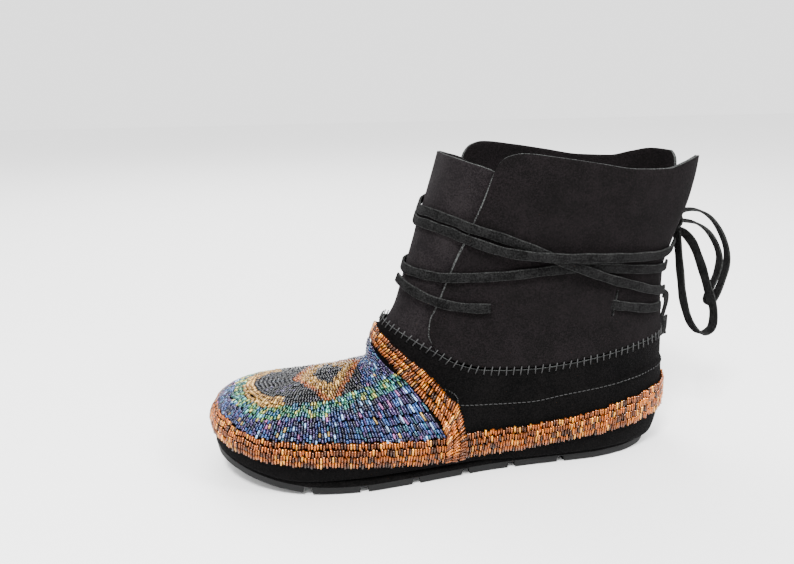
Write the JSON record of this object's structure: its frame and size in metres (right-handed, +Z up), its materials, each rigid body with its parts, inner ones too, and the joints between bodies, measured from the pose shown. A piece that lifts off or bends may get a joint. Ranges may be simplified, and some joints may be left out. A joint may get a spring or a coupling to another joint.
{
  "type": "beaded ankle boot",
  "caption": "Left moccasin ankle boot in black suede with a beaded vamp, bronze bead bands and a flat lace wrapped round the shaft and tied in a bow at the back.",
  "frame": {"origin": "on the ground below the middle of the heel, on the flat of the heel's tread", "axes": "+X towards the toe, +Y towards the outer side of the foot, +Z up"},
  "size_m": [0.3084, 0.0984, 0.1711],
  "materials": {
    "black_rubber": "matt black rubber outsole",
    "insole_lining": "dark fabric footbed",
    "suede_upper": "black suede",
    "suede_collar": "black suede",
    "suede_tongue": "black suede",
    "bronze_beads": "bronze lined bugle beads",
    "iris_beads": "iridescent dark bugle beads",
    "lace_suede": "flat black suede lace"
  },
  "bodies": {
    "root": {"outsole": "black_rubber", "insole": "insole_lining", "upper": "suede_upper", "collar": "suede_collar", "tongue": "suede_tongue", "foxing_beads": "bronze_beads", "throat_beads": "bronze_beads", "vamp_beads": "iris_beads", "lace_strand_high": "lace_suede", "lace_strand_mid": "lace_suede", "lace_strand_low": "lace_suede", "lace_knot": "lace_suede", "lace_bow_outer": "lace_suede", "lace_bow_hanging": "lace_suede", "lace_lower_loop": "lace_suede", "lace_slot_end": "lace_suede", "lace_front_end": "lace_suede"}
  },
  "joints": []
}
